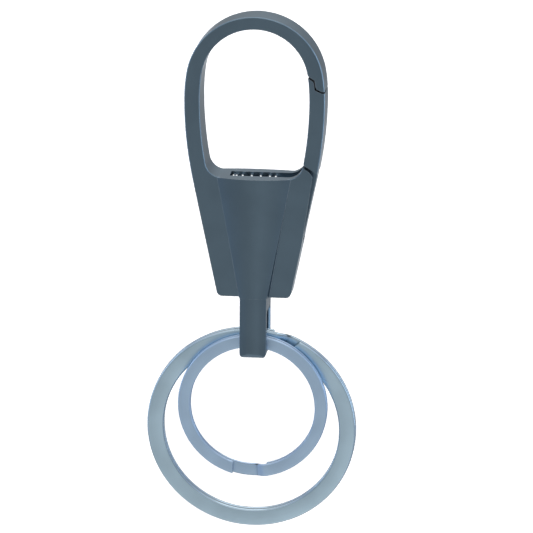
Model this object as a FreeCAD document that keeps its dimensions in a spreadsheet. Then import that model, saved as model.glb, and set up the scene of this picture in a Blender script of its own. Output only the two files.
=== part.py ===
"""Key organiser: a spring-gate clip with an eyelet stem that carries two split rings.

Millimetres. X is right, Y is back and Z is up. The origin is the inside top of the bow,
where the clip hangs from a strap or hook, in the middle of its thickness.
"""
import FreeCAD, Part
import math
import os
import Sketcher

V = FreeCAD.Vector

# Driving dimensions: name, value, what it measures.
DIMENSIONS = [
    # the bow, flanks and plate of the clip
    ("clip_half_width", 11.6, "centre to the outer edge at the widest level"),
    ("clip_thickness", 6.4, "front face to back face of the bow"),
    ("crown_width", 2.1, "radial width of the bow at its top"),
    ("arm_width", 2.55, "width of the left arm and of the gate, seen from the front"),
    ("crown_inset", 0.2, "how much less the crown's radius is than the half width"),
    ("shoulder_drop", 3.0, "from the centre of the window's crown to the widest level"),
    ("side_radius", 63.6, "radius of the outer side below the widest level"),
    ("flank_angle", 11.7, "lean of the straight flank, degrees"),
    ("window_length", 24.95, "inside top of the bow to the crossbar"),
    ("window_corner", 2.7, "radius of the window's lower corners"),
    ("flank_length", 20.35, "crossbar to the bottom of the flanks"),
    ("flank_corner", 0.9, "radius of the flanks' bottom corners"),
    ("flank_back_step", 0.95, "how far each face of the flanks has receded at the bottom"),
    ("rear_round", 1.2, "rounding of the outer rear edge"),
    ("front_bevel", 0.12, "bevel of the outer front edge"),
    ("inner_bevel", 0.1, "bevel of the window's edges"),
    # the fan shaped ridges
    ("fan_half_width", 6.1, "half width of the front fan at the crossbar"),
    ("fan_crown", 1.25, "how proud the front fan is in the middle of the crossbar"),
    ("fan_edge", 0.06, "how proud the fans' edges are at the crossbar"),
    ("fan_flare", 0.6, "how much wider than its face each fan's root is at the foot"),
    ("rear_fan_crown", 0.6, "how proud the rear fan is in the middle of the crossbar"),
    # the stem and its eyelet
    ("stem_width", 4.4, "width of the stem"),
    ("stem_front", 3.4, "middle plane to the stem's front corners"),
    ("stem_dome", 0.4, "how proud the stem's front is in its middle"),
    ("stem_back", 3.4, "middle plane to the stem's back face"),
    ("stem_length", 10.25, "bottom of the flanks to the bottom of the stem"),
    ("stem_front_round", 1.2, "rounding of the stem's lower front edge"),
    ("stem_back_round", 1.3, "rounding of the stem's lower back edge"),
    ("stem_corner", 0.9, "rounding of the stem's bottom corners, seen from the front"),
    ("front_wall", 1.25, "eyelet wall in front of the slot, at the stem's corners"),
    ("eyelet_gap", 4.7, "slot of the eyelet, front to back"),
    ("eyelet_height", 6.6, "slot of the eyelet, top to bottom"),
    ("eyelet_corner", 0.5, "rounding of the slot's corners"),
    ("eyelet_bevel", 0.25, "bevel of the slot's mouths"),
    ("bar_thickness", 1.0, "bar under the slot"),
    ("rear_fan_step", 0.25, "how far the rear fan's lower edge lies inside the stem's back"),
    # the slot for the gate and its spring
    ("lever_slot", 3.2, "slot between the body's two plates"),
    ("lever_side_gap", 0.1, "gap on each side of the gate's tongue"),
    ("lever_slot_rise", 4.0, "how far the slot runs up behind the gate's foot"),
    ("spring_channel", 8.05, "left end of the spring's channel to the gate's heel"),
    ("spring_cover", 0.15, "crossbar to the top of the spring"),
    ("spring_diameter", 2.5, "outside of the coil"),
    ("spring_wire", 0.45, "spring wire"),
    ("spring_pitch", 1.36, "pitch of the open turns"),
    ("spring_side_gap", 0.12, "gap between coil and channel floor"),
    ("spring_end_gap", 0.05, "gap at each end of the spring and between closed turns"),
    ("spring_peg", 0.8, "length of the peg inside the spring's end"),
    ("spring_peg_gap", 0.15, "radial gap between peg and coil"),
    ("heel_reach", 3.46, "pivot to the heel's face, where the spring bears"),
    ("heel_depth", 0.9, "crossbar to the top of the heel"),
    ("heel_room", 1.4, "room for the heel to swing into"),
    ("heel_low", 1.5, "pivot to the bottom of the heel"),
    ("tail_length", 7.25, "pivot to the lower end of the gate's tail"),
    ("tail_width", 2.45, "width of the gate's tail"),
    ("tail_end_gap", 0.25, "gap below the gate's tail"),
    ("tail_side_gap", 0.3, "gap between the gate's tail and the slot's left wall"),
    ("tail_step", 0.05, "how far the tail lies inside the flank's edge"),
    ("tongue_rise", 3.6, "how far the tongue runs up into the gate"),
    ("tongue_inset", 0.12, "how far the tongue lies inside the gate's outer edge"),
    # the pivot
    ("pivot_inset", 2.3, "flank's edge to the pivot"),
    ("pivot_drop", 3.3, "crossbar to the pivot"),
    ("pin_diameter", 1.6, "pivot pin"),
    ("pin_fit", 0.01, "radial clearance of the pin in the body"),
    ("pin_running_fit", 0.05, "radial clearance of the pin in the gate"),
    ("pin_cover", 0.8, "metal left in front of the pin"),
    ("pin_recess", 0.35, "rear face to the pin's end"),
    ("pin_bevel", 0.15, "bevel of the pin's ends"),
    # the latch between nose and gate
    ("latch_level", 8.2, "inside top of the bow to the latch's upper step"),
    ("latch_length", 1.85, "upper step to the nose's tip"),
    ("latch_depth", 0.88, "window's edge to the face that the finger meets"),
    ("latch_lean", 0.2, "how far that face leans out from its top to its bottom"),
    ("latch_gap", 0.24, "gap between the nose and the gate's finger"),
    ("latch_seam", 0.3, "gap between the nose's tip and the gate's ledge"),
    ("ledge_slope", 0.65, "rise of the latch's upper step for each mm inwards"),
    ("nose_rake", 0.45, "rise of the nose's underside from its corner inwards"),
    ("nose_corner", 0.5, "outer edge to the nose's lower corner"),
    # the gate's foot and the body's shoulder under it
    ("shoulder_rise", 2.0, "crossbar to the shoulder's inner tip"),
    ("shoulder_inset", 0.07, "window's edge, at its level, out to the shoulder's inner tip"),
    ("corner_rise", 0.95, "crossbar to the shoulder's outer corner"),
    ("corner_inset", 0.68, "outer edge to the shoulder's outer corner"),
    ("shoulder_round", 1.6, "rounding of the shoulder's outer corner"),
    ("shoulder_foot", 11.5, "crossbar down to where the shoulder meets the flank's edge"),
    ("seam_gap", 0.45, "gap between the gate's lower end and the body's shoulder"),
    ("foot_overhang", 0.55, "how far the gate's foot reaches past the shoulder's corner"),
    ("foot_back_run", 0.6, "sideways run of the foot's inner bevel"),
    ("foot_back_rise", 0.9, "height of the foot's inner bevel"),
    # small roundings of the latch, shoulder, gate and slots
    ("fine_round", 0.3, "rounding of small corners"),
    ("soft_round", 0.5, "rounding of larger corners"),
    # the large split ring
    ("large_ring_diameter", 35.0, "outside of the large ring"),
    ("large_ring_width", 2.8, "radial width of the large ring"),
    ("large_ring_depth", 1.7, "front to back of the large ring"),
    ("large_ring_tilt", 5.0, "how far the large ring hangs back, degrees"),
    ("large_ring_offset", -0.75, "how far it hangs off the middle"),
    ("large_ring_back", 1.48, "rear of the slot to the middle of the ring's wire"),
    ("large_split_at", 75.6, "where its front turn ends, degrees from the right"),
    ("large_split_angle", 11.3, "its split's opening and ramp together, degrees"),
    ("large_ramp_angle", 9.0, "its ramp, degrees"),
    # the small split ring
    ("small_ring_diameter", 25.0, "outside of the small ring"),
    ("small_ring_width", 2.1, "radial width of the small ring"),
    ("small_ring_depth", 1.4, "front to back of the small ring"),
    ("small_ring_tilt", 4.5, "how far the small ring hangs back, degrees"),
    ("small_ring_offset", -0.33, "how far it hangs off the middle"),
    ("small_ring_front", 1.38, "front of the slot to the middle of the ring's wire"),
    ("small_split_at", -79.0, "where its front turn ends, degrees from the right"),
    ("small_split_angle", 28.0, "its split's opening and ramp together, degrees"),
    ("small_ramp_angle", 10.0, "its ramp, degrees"),
    # both rings
    ("ring_bevel", 0.28, "bevel of the rings' outer edges"),
    ("ring_layer_gap", 0.04, "gap between a ring's two turns"),
    ("ring_end_gap", 1.5, "hidden end of the back turn to the ramp, degrees"),
    ("ring_bar_gap", 0.05, "gap between a ring and the eyelet's bar"),
]

doc = FreeCAD.newDocument("KeyOrganiser")
sheet = doc.addObject("Spreadsheet::Sheet", "Dimensions")
for row, (alias, value, note) in enumerate(DIMENSIONS, start=1):
    sheet.set("A%d" % row, alias)
    sheet.set("B%d" % row, str(value))
    sheet.set("C%d" % row, note)
    sheet.setAlias("B%d" % row, alias)
doc.recompute()


def dim(alias):
    """The value of one driving dimension."""
    return float(sheet.get(alias))


def cell(alias):
    """The expression that binds a property to one driving dimension."""
    return "Dimensions." + alias


# ---------------------------------------------------------------- places worked out from the sheet

CROSSBAR_Z = -dim("window_length")
FLANK_Z = CROSSBAR_Z - dim("flank_length")
STEM_Z = FLANK_Z - dim("stem_length")
FAR = 2 * dim("clip_half_width")

OUTER = dim("clip_half_width")
INNER = OUTER - dim("arm_width")
INNER_CROWN = INNER - dim("crown_inset")
OUTER_CROWN = OUTER - dim("crown_inset")
WIDEST_Z = -INNER_CROWN - dim("shoulder_drop")
FLANK_ANGLE = math.radians(dim("flank_angle"))
HALF_THICK = dim("clip_thickness") / 2

SLOT_FRONT = -dim("stem_front") + dim("front_wall")
SLOT_BACK = SLOT_FRONT + dim("eyelet_gap")
BAR_Z = STEM_Z + dim("bar_thickness")


TOUCH = 0.01  # how near a face a point has to be to lie on it


def side_x(half_width, radius, z):
    """X of a side at or below the widest level: an arc, then the straight flank."""
    turn_z = WIDEST_Z - radius * math.sin(FLANK_ANGLE)
    turn_x = half_width - radius * (1 - math.cos(FLANK_ANGLE))
    if z < turn_z:
        return turn_x - (turn_z - z) * math.tan(FLANK_ANGLE)
    turn = math.asin((WIDEST_Z - z) / radius)
    return half_width - radius * (1 - math.cos(turn))


def outer_x(z):
    """X of the clip's outer edge at a level at or below the widest one."""
    return side_x(OUTER, dim("side_radius"), z)


def inner_x(z):
    """X of the window's edge at a level at or below the widest one, its corners left out."""
    return side_x(INNER, dim("side_radius") - dim("arm_width"), z)


PIVOT_Z = CROSSBAR_Z - dim("pivot_drop")
PIVOT_X = outer_x(PIVOT_Z) - dim("pivot_inset")
TAIL_Z = PIVOT_Z - dim("tail_length")
HEEL_X = PIVOT_X - dim("heel_reach")
SPRING_X = HEEL_X - dim("spring_channel")
SPRING_Z = CROSSBAR_Z - dim("spring_cover") - dim("spring_diameter") / 2


# ---------------------------------------------------------------- outlines

def rounded(points):
    """Lines and tangent arcs through (x, y, corner radius) points, closed."""
    count = len(points)
    ends = []
    for i in range(count):
        here = V(points[i][0], points[i][1], 0)
        back = V(points[i - 1][0], points[i - 1][1], 0) - here
        ahead = V(points[(i + 1) % count][0], points[(i + 1) % count][1], 0) - here
        half = back.getAngle(ahead) / 2
        reach = points[i][2] / math.tan(half)
        back.normalize()
        ahead.normalize()
        middle = (back + ahead).normalize() if points[i][2] else V()
        deep = points[i][2] / math.sin(half) - points[i][2]
        ends.append((here + back * reach, here + middle * deep, here + ahead * reach))
    edges = []
    for i in range(count):
        start, middle, stop = ends[i]
        if points[i][2]:
            edges.append(Part.Arc(start, middle, stop))
        edges.append(Part.LineSegment(stop, ends[(i + 1) % count][0]))
    return edges


def half_egg(crown_top, crown_radius, half_width):
    """Right half of the bow: where crown meets shoulder, the shoulder's middle and its end."""
    centre_z = crown_top - crown_radius
    drop = centre_z - WIDEST_Z
    spread = half_width ** 2 + drop ** 2 - crown_radius ** 2
    shoulder_radius = spread / (2 * (half_width - crown_radius))
    shoulder_x = half_width - shoulder_radius
    lean = math.atan2(drop, -shoulder_x)
    meet = V(crown_radius * math.cos(lean), centre_z + crown_radius * math.sin(lean), 0)
    shoulder_mid = V(shoulder_x + shoulder_radius * math.cos(lean / 2), 0, 0)
    shoulder_mid.y = WIDEST_Z + shoulder_radius * math.sin(lean / 2)
    return meet, shoulder_mid, V(half_width, WIDEST_Z, 0)


def side_point(half_width, radius, turn):
    """A point of the side's arc, a turn below the widest level."""
    return V(half_width - radius * (1 - math.cos(turn)), WIDEST_Z - radius * math.sin(turn), 0)


def mirrored(p):
    """The same point on the left."""
    return V(-p.x, p.y, 0)


def bow_edges(top, crown_radius, half_width, radius, turn):
    """Arcs from the side on the right, over the top, to the side on the left."""
    meet, shoulder_mid, widest = half_egg(top, crown_radius, half_width)
    low = side_point(half_width, radius, turn)
    mid = side_point(half_width, radius, turn / 2)
    right = [Part.Arc(low, mid, widest), Part.Arc(widest, shoulder_mid, meet)]
    crown = Part.Arc(meet, V(0, top, 0), mirrored(meet))
    left = [
        Part.Arc(mirrored(meet), mirrored(shoulder_mid), mirrored(widest)),
        Part.Arc(mirrored(widest), mirrored(mid), mirrored(low)),
    ]
    return right + [crown] + left, low


def outer_outline():
    """The clip's whole outer edge, with the flanks' rounded bottom corners."""
    edges, low = bow_edges(
        dim("crown_width"), OUTER_CROWN, OUTER, dim("side_radius"), FLANK_ANGLE
    )
    corner = rounded([
        (low.x, low.y, 0),
        (-low.x, low.y, 0),
        (-outer_x(FLANK_Z), FLANK_Z, dim("flank_corner")),
        (outer_x(FLANK_Z), FLANK_Z, dim("flank_corner")),
    ])
    return edges + corner[1:]


def window_outline():
    """The hole that a strap passes through, down to the crossbar."""
    radius = dim("side_radius") - dim("arm_width")
    corner = dim("window_corner")
    # the corner's arc touches the side's arc and the crossbar
    centre_z = CROSSBAR_Z + corner
    turn = math.asin((WIDEST_Z - centre_z) / (radius - corner))
    edges, low = bow_edges(0, INNER_CROWN, INNER, radius, turn)
    centre = V(INNER - radius + (radius - corner) * math.cos(turn), centre_z, 0)
    aim = (math.pi / 2 + turn) / 2 + turn / 2
    mid = centre + V(math.cos(-aim), math.sin(-aim), 0) * corner
    foot = V(centre.x, CROSSBAR_Z, 0)
    return edges + [
        Part.Arc(mirrored(low), mirrored(mid), mirrored(foot)),
        Part.LineSegment(mirrored(foot), foot),
        Part.Arc(foot, mid, low),
    ]


LATCH_X = INNER + dim("latch_depth")
STEP_Z = -dim("latch_level")
TIP_Z = STEP_Z - dim("latch_length")
STEP_RUN = dim("arm_width")
FINE = dim("fine_round")
SOFT = dim("soft_round")


def nose_points():
    """The bow's free end, from outside the clip to inside the window."""
    return [
        (FAR, TIP_Z, 0),
        (OUTER - dim("nose_corner"), TIP_Z, FINE),
        (LATCH_X + dim("latch_lean"), TIP_Z + dim("nose_rake"), SOFT),
        (LATCH_X, STEP_Z, FINE),
        (LATCH_X - STEP_RUN, STEP_Z + STEP_RUN * dim("ledge_slope"), 0),
    ]


def finger_points():
    """The gate's upper end, from inside the window to outside the clip."""
    gap = dim("latch_gap")
    ledge_z = TIP_Z - dim("latch_seam")
    return [
        (LATCH_X - gap - STEP_RUN, STEP_Z - gap + STEP_RUN * dim("ledge_slope"), 0),
        (LATCH_X - gap, STEP_Z - gap, FINE),
        (LATCH_X - gap + dim("latch_lean"), TIP_Z - gap + dim("nose_rake"), SOFT),
        (OUTER - dim("nose_corner"), ledge_z, FINE),
        (FAR, ledge_z, 0),
    ]


TIP_LEVEL = CROSSBAR_Z + dim("shoulder_rise")
SHOULDER_TIP = V(inner_x(TIP_LEVEL) + dim("shoulder_inset"), TIP_LEVEL, 0)
CORNER_Z = CROSSBAR_Z + dim("corner_rise")
SHOULDER_CORNER = V(outer_x(CORNER_Z) - dim("corner_inset"), CORNER_Z, 0)
SHOULDER_RUN = (SHOULDER_CORNER - SHOULDER_TIP).normalize()
SHOULDER_LIFT = V(-SHOULDER_RUN.y, SHOULDER_RUN.x, 0)


def shoulder_points():
    """The body's shoulder under the gate, from inside the window to outside the clip."""
    inside = SHOULDER_TIP - SHOULDER_RUN * dim("arm_width")
    meet_z = CROSSBAR_Z - dim("shoulder_foot")
    return [
        (inside.x, inside.y, 0),
        (SHOULDER_CORNER.x, SHOULDER_CORNER.y, dim("shoulder_round")),
        (outer_x(meet_z), meet_z, 0),
        (FAR, meet_z, 0),
    ]


def gate_foot_points():
    """The gate's lower end, above the shoulder, from outside the clip to inside the window."""
    inner = SHOULDER_TIP + SHOULDER_LIFT * dim("seam_gap")
    outer = SHOULDER_CORNER + SHOULDER_LIFT * dim("seam_gap") + SHOULDER_RUN * dim("foot_overhang")
    bevel = inner + V(-dim("foot_back_run"), dim("foot_back_rise"), 0)
    inside = bevel + (bevel - inner) * dim("arm_width")
    return [
        (FAR, outer.y, 0),
        (outer.x, outer.y, FINE / 2),
        (inner.x, inner.y, FINE / 2),
        (inside.x, inside.y, 0),
    ]


# ---------------------------------------------------------------- helpers for features

def plane_of(body, role):
    """One of a body's own origin planes."""
    for feature in body.Origin.OriginFeatures:
        if feature.Role == role:
            return feature
    raise ValueError(role)


def new_body(label):
    """An empty body with its label."""
    body = doc.addObject("PartDesign::Body", label)
    body.Label = label
    return body


def new_sketch(body, name, role, edges, offset=0.0):
    """A sketch on an origin plane, a distance along the plane's normal."""
    sketch = body.newObject("Sketcher::SketchObject", name)
    sketch.AttachmentSupport = [(plane_of(body, role), "")]
    sketch.MapMode = "FlatFace"
    sketch.AttachmentOffset = FreeCAD.Placement(V(0, 0, offset), FreeCAD.Rotation())
    sketch.addGeometry(edges, False)
    doc.recompute()
    return sketch


def pad(body, name, sketch, length, midplane=False, reverse=False):
    """A pad whose length is a number of millimetres or the name of a driving dimension."""
    feature = body.newObject("PartDesign::Pad", name)
    feature.Profile = sketch
    feature.Midplane = midplane
    feature.Reversed = reverse
    if isinstance(length, str):
        feature.setExpression("Length", cell(length))
    else:
        feature.Length = length
    doc.recompute()
    return feature


def pocket(body, name, sketch, length=None, midplane=True, reverse=False):
    """A pocket through everything, or of one length; it must take material away."""
    before = body.Shape.Volume
    feature = body.newObject("PartDesign::Pocket", name)
    feature.Profile = sketch
    feature.Midplane = midplane
    feature.Reversed = reverse
    if length is None:
        feature.Length = 2 * FAR
    elif isinstance(length, str):
        feature.setExpression("Length", cell(length))
    else:
        feature.Length = length
    doc.recompute()
    if body.Shape.Volume > before - TOUCH:
        raise ValueError(name + " takes nothing away")
    return feature


def edge_names(shape, wanted):
    """Names of the edges whose points all pass a test."""
    names = []
    for number, edge in enumerate(shape.Edges, start=1):
        spots = [edge.valueAt(edge.FirstParameter + k * (edge.LastParameter - edge.FirstParameter) / 4)
                 for k in range(5)]
        if all(wanted(p) for p in spots):
            names.append("Edge%d" % number)
    return names


def dress(body, kind, name, base, wanted, size):
    """A fillet or chamfer on the edges that pass a test, its size bound to the sheet."""
    names = edge_names(base.Shape, wanted)
    if not names:
        raise ValueError(name + " finds no edge")
    feature = body.newObject("PartDesign::" + kind, name)
    feature.Base = (base, names)
    feature.setExpression("Radius" if kind == "Fillet" else "Size", cell(size))
    doc.recompute()
    return feature


def in_window(p):
    """Whether a point lies on the window's edge rather than on the outer edge."""
    if p.z > WIDEST_Z:
        in_crown = math.hypot(p.x, p.z + INNER_CROWN) < INNER_CROWN + dim("crown_width") / 2
        return in_crown and math.hypot(p.x, p.z - WIDEST_Z) < (OUTER + INNER) / 2
    return p.z > CROSSBAR_Z - TOUCH and abs(p.x) < outer_x(p.z) - dim("arm_width") / 2


# ---------------------------------------------------------------- the clip's plate, shared by body and gate

def clip_plate(body):
    """The plate of the whole clip, with its window, rear rounding and front bevels."""
    outline = new_sketch(body, "ClipOutline", "XZ_Plane", outer_outline() + window_outline())
    plate = pad(body, "ClipPlate", outline, "clip_thickness", midplane=True)
    rear = dress(body, "Fillet", "RearRound", plate,
                 lambda p: p.y > HALF_THICK - TOUCH and not in_window(p), "rear_round")
    front = dress(body, "Chamfer", "FrontBevel", rear,
                  lambda p: p.y < -HALF_THICK + TOUCH and not in_window(p), "front_bevel")
    return dress(body, "Chamfer", "WindowBevel", front,
                 lambda p: abs(p.y) > HALF_THICK - TOUCH and in_window(p), "inner_bevel")


# ---------------------------------------------------------------- the body casting

def receding_flanks(body):
    """The flanks' faces lean back towards the bottom, in front and behind."""
    step = dim("flank_back_step")
    top = CROSSBAR_Z - dim("inner_bevel")
    for name, side in (("FrontLean", -1), ("RearLean", 1)):
        wedge = rounded([
            (side * HALF_THICK, top, 0),
            (side * (HALF_THICK - step), FLANK_Z - TOUCH, 0),
            (side * FAR, FLANK_Z - TOUCH, 0),
            (side * FAR, top, 0),
        ])
        pocket(body, name, new_sketch(body, name + "Sketch", "YZ_Plane", wedge))


def fan_section(half_width, flare, root, edge, crown):
    """A closed section: flared sides and a domed face."""
    foot = half_width + flare
    return [
        Part.LineSegment(V(-foot, root, 0), V(-half_width, edge, 0)),
        Part.Arc(V(-half_width, edge, 0), V(0, crown, 0), V(half_width, edge, 0)),
        Part.LineSegment(V(half_width, edge, 0), V(foot, root, 0)),
        Part.LineSegment(V(foot, root, 0), V(-foot, root, 0)),
    ]


def fan(body, name, side, top_crown, low_edge, low_crown):
    """A ridge that narrows from the crossbar to the stem, on one face of the body."""
    half = dim("stem_width") / 2
    root = side * HALF_THICK / 4
    top = new_sketch(body, name + "Top", "XY_Plane", fan_section(
        dim("fan_half_width"), 0, root, side * (HALF_THICK + dim("fan_edge")),
        side * (HALF_THICK + top_crown)), offset=CROSSBAR_Z)
    low = new_sketch(body, name + "Low", "XY_Plane", fan_section(
        half + dim("fan_edge"), dim("fan_flare"), root, side * low_edge, side * low_crown), offset=FLANK_Z)
    loft = body.newObject("PartDesign::AdditiveLoft", name)
    loft.Profile = top
    loft.Sections = [low]
    loft.Ruled = True
    doc.recompute()
    return loft


def stem(body):
    """The stem below the flanks, domed in front, rounded underneath, with its eyelet slot."""
    half = dim("stem_width") / 2
    front = -dim("stem_front")
    back = dim("stem_back")
    section = [
        Part.LineSegment(V(-half, back, 0), V(-half, front, 0)),
        Part.Arc(V(-half, front, 0), V(0, front - dim("stem_dome"), 0), V(half, front, 0)),
        Part.LineSegment(V(half, front, 0), V(half, back, 0)),
        Part.LineSegment(V(half, back, 0), V(-half, back, 0)),
    ]
    inside = dim("flank_corner")
    sketch = new_sketch(body, "StemSection", "XY_Plane", section, offset=FLANK_Z + inside)
    stem_pad = pad(body, "Stem", sketch, "stem_length", reverse=True)
    stem_pad.setExpression("Length", "%s + %s" % (cell("stem_length"), cell("flank_corner")))
    doc.recompute()
    crest = front - dim("stem_dome")
    below = STEM_Z - dim("stem_length")
    around = rounded([
        (-FAR, below, 0),
        (FAR, below, 0),
        (FAR, FLANK_Z, 0),
        (back, FLANK_Z, 0),
        (back, STEM_Z, dim("stem_back_round")),
        (crest, STEM_Z, dim("stem_front_round")),
        (crest, FLANK_Z, 0),
        (-FAR, FLANK_Z, 0),
    ])
    pocket(body, "StemUnderside", new_sketch(body, "StemUndersideSketch", "YZ_Plane", around))
    corners = rounded([
        (-half, BAR_Z, 0),
        (-half, STEM_Z, dim("stem_corner")),
        (half, STEM_Z, dim("stem_corner")),
        (half, BAR_Z, 0),
        (FAR, BAR_Z, 0),
        (FAR, below, 0),
        (-FAR, below, 0),
        (-FAR, BAR_Z, 0),
    ])
    pocket(body, "StemCorners", new_sketch(body, "StemCornersSketch", "XZ_Plane", corners))


def eyelet(body):
    """The slot through the stem that the rings hang in, with bevelled mouths."""
    half = dim("stem_width") / 2
    top = BAR_Z + dim("eyelet_height")
    radius = dim("eyelet_corner")
    slot = rounded([
        (SLOT_FRONT, BAR_Z, radius),
        (SLOT_BACK, BAR_Z, radius),
        (SLOT_BACK, top, radius),
        (SLOT_FRONT, top, radius),
    ])
    cut = pocket(body, "Eyelet", new_sketch(body, "EyeletSketch", "YZ_Plane", slot))

    def on_mouth(p):
        """Whether a point lies on the slot's edge, on either side of the stem."""
        inside = SLOT_FRONT - TOUCH < p.y < SLOT_BACK + TOUCH and BAR_Z - TOUCH < p.z < top + TOUCH
        return inside and abs(p.x) > half - TOUCH

    dress(body, "Chamfer", "EyeletBevel", cut, on_mouth, "eyelet_bevel")


def lever_slot(body):
    """The slot between the plates that takes the spring and the gate's tongue."""
    floor = SPRING_Z - dim("spring_diameter") / 2 - dim("spring_side_gap")
    heel_left = HEEL_X - dim("heel_room")
    heel_floor = PIVOT_Z - dim("heel_low") - dim("lever_side_gap")
    tail_left = outer_x(TAIL_Z) - dim("tail_width") - dim("tail_side_gap")
    low = TAIL_Z - dim("tail_end_gap")
    above = CROSSBAR_Z + SOFT
    rise = CROSSBAR_Z + dim("lever_slot_rise")
    outline = rounded([
        (SPRING_X, above, 0),
        (SPRING_X, floor, FINE),
        (heel_left, floor, 0),
        (heel_left, heel_floor, FINE),
        (tail_left, heel_floor - SOFT, 0),
        (tail_left, low, FINE),
        (FAR, low, 0),
        (FAR, rise, 0),
        (inner_x(rise) + SOFT, rise, 0),
        (inner_x(above) - dim("window_corner") / 2, above, 0),
    ])
    pocket(body, "LeverSlot", new_sketch(body, "LeverSlotSketch", "XZ_Plane", outline), "lever_slot")


PIN_FRONT = -HALF_THICK + dim("pin_cover")
PIN_BACK = HALF_THICK - dim("pin_recess")


def round_section(x, z, radius):
    """One circle, as a sketch's edges."""
    return [Part.Circle(V(x, z, 0), V(0, 0, 1), radius)]


def clip_body():
    """Bow, nose, flanks, stem and eyelet: one casting."""
    body = new_body("clip_body")
    clip_plate(body)
    receding_flanks(body)
    front = dim("stem_front")
    back = dim("stem_back")
    fan(body, "FrontFan", -1, dim("fan_crown"), front, front + dim("stem_dome"))
    fan(body, "RearFan", 1, dim("rear_fan_crown"), back - dim("rear_fan_step"), back)
    stem(body)
    eyelet(body)
    opening = rounded(nose_points() + shoulder_points())
    pocket(body, "GateOpening", new_sketch(body, "GateOpeningSketch", "XZ_Plane", opening))
    lever_slot(body)
    bore = round_section(PIVOT_X, PIVOT_Z, dim("pin_diameter") / 2 + dim("pin_fit"))
    sketch = new_sketch(body, "PinBoreSketch", "XZ_Plane", bore, offset=-PIN_FRONT)
    pocket(body, "PinBore", sketch, length=FAR, midplane=False)
    return body


# ---------------------------------------------------------------- the gate

def gate():
    """The lever that closes the window, with its tongue, heel and tail between the plates."""
    body = new_body("gate")
    clip_plate(body)
    keep = rounded(finger_points() + gate_foot_points())
    frame = rounded([(-2 * FAR, -3 * FAR, 0), (2 * FAR, -3 * FAR, 0), (2 * FAR, FAR, 0), (-2 * FAR, FAR, 0)])
    pocket(body, "GateTrim", new_sketch(body, "GateTrimSketch", "XZ_Plane", frame + keep))
    tongue(body)
    radius = dim("spring_diameter") / 2 - dim("spring_wire") - dim("spring_peg_gap")
    circle = round_section(0, SPRING_Z, radius)
    peg = new_sketch(body, "SpringPegSketch", "YZ_Plane", circle, offset=HEEL_X + FINE)
    peg_pad = pad(body, "SpringPeg", peg, "spring_peg", reverse=True)
    peg_pad.setExpression("Length", "%s + %s" % (cell("spring_peg"), cell("fine_round")))
    bore = round_section(PIVOT_X, PIVOT_Z, dim("pin_diameter") / 2 + dim("pin_running_fit"))
    pocket(body, "PinBore", new_sketch(body, "PinBoreSketch", "XZ_Plane", bore))
    return body


def tongue(body):
    """The thin lower half of the gate: root, heel under the spring, and tail."""
    root = CROSSBAR_Z + dim("tongue_rise")
    heel_top = CROSSBAR_Z - dim("heel_depth")
    tail_right = outer_x(TAIL_Z) - dim("tail_step")
    tail_left = outer_x(TAIL_Z) - dim("tail_width")
    straight = WIDEST_Z - dim("side_radius") * math.sin(FLANK_ANGLE)
    outline = rounded([
        (outer_x(root) - dim("corner_inset"), root, 0),
        (inner_x(root) + SOFT, root, 0),
        (SHOULDER_TIP.x + FINE, SHOULDER_TIP.y, SOFT),
        (SHOULDER_TIP.x - dim("corner_rise"), heel_top, SOFT),
        (HEEL_X, heel_top, FINE),
        (HEEL_X, PIVOT_Z, FINE),
        (tail_left, PIVOT_Z - dim("heel_low"), SOFT),
        (tail_left, TAIL_Z, FINE),
        (tail_right, TAIL_Z, FINE),
        (outer_x(straight) - dim("tail_step"), straight, 0),
        (outer_x(SHOULDER_TIP.y) - dim("tongue_inset"), SHOULDER_TIP.y, 0),
    ])
    tongue_pad = pad(body, "Tongue", new_sketch(body, "TongueSketch", "XZ_Plane", outline), "lever_slot",
                     midplane=True)
    tongue_pad.setExpression("Length", "%s - 2 * %s" % (cell("lever_slot"), cell("lever_side_gap")))
    doc.recompute()


# ---------------------------------------------------------------- pin and spring

def pivot_pin():
    """A plain pin with bevelled ends, pressed in from behind."""
    body = new_body("pivot_pin")
    circle = round_section(PIVOT_X, PIVOT_Z, dim("pin_diameter") / 2)
    sketch = new_sketch(body, "PinSection", "XZ_Plane", circle, offset=-PIN_FRONT)
    rod = pad(body, "Pin", sketch, "clip_thickness", reverse=True)
    ends = (cell("clip_thickness"), cell("pin_cover"), cell("pin_recess"))
    rod.setExpression("Length", "%s - %s - %s" % ends)
    doc.recompute()
    dress(body, "Chamfer", "PinBevel", rod, lambda p: True, "pin_bevel")
    return body


def coil(sections, radius, wire):
    """Solid wire along a helix about +Z made of (turns, pitch) sections, starting at +X."""
    spots = 12  # points on each turn
    points = []
    height = 0.0
    turned_so_far = 0.0
    for turns, pitch in sections:
        for k in range(int(turns * spots)):
            angle = 2 * math.pi * (turned_so_far + k / spots)
            points.append(V(radius * math.cos(angle), radius * math.sin(angle), height + pitch * k / spots))
        turned_so_far += turns
        height += turns * pitch
    points.append(V(radius * math.cos(2 * math.pi * turned_so_far), 0, height))
    curve = Part.BSplineCurve()
    curve.interpolate(points)
    aim = curve.tangent(curve.FirstParameter)[0]
    section = Part.Wire(Part.makeCircle(wire / 2, points[0], aim))
    return Part.Wire(curve.toShape()).makePipeShell([section], True, True)


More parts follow.
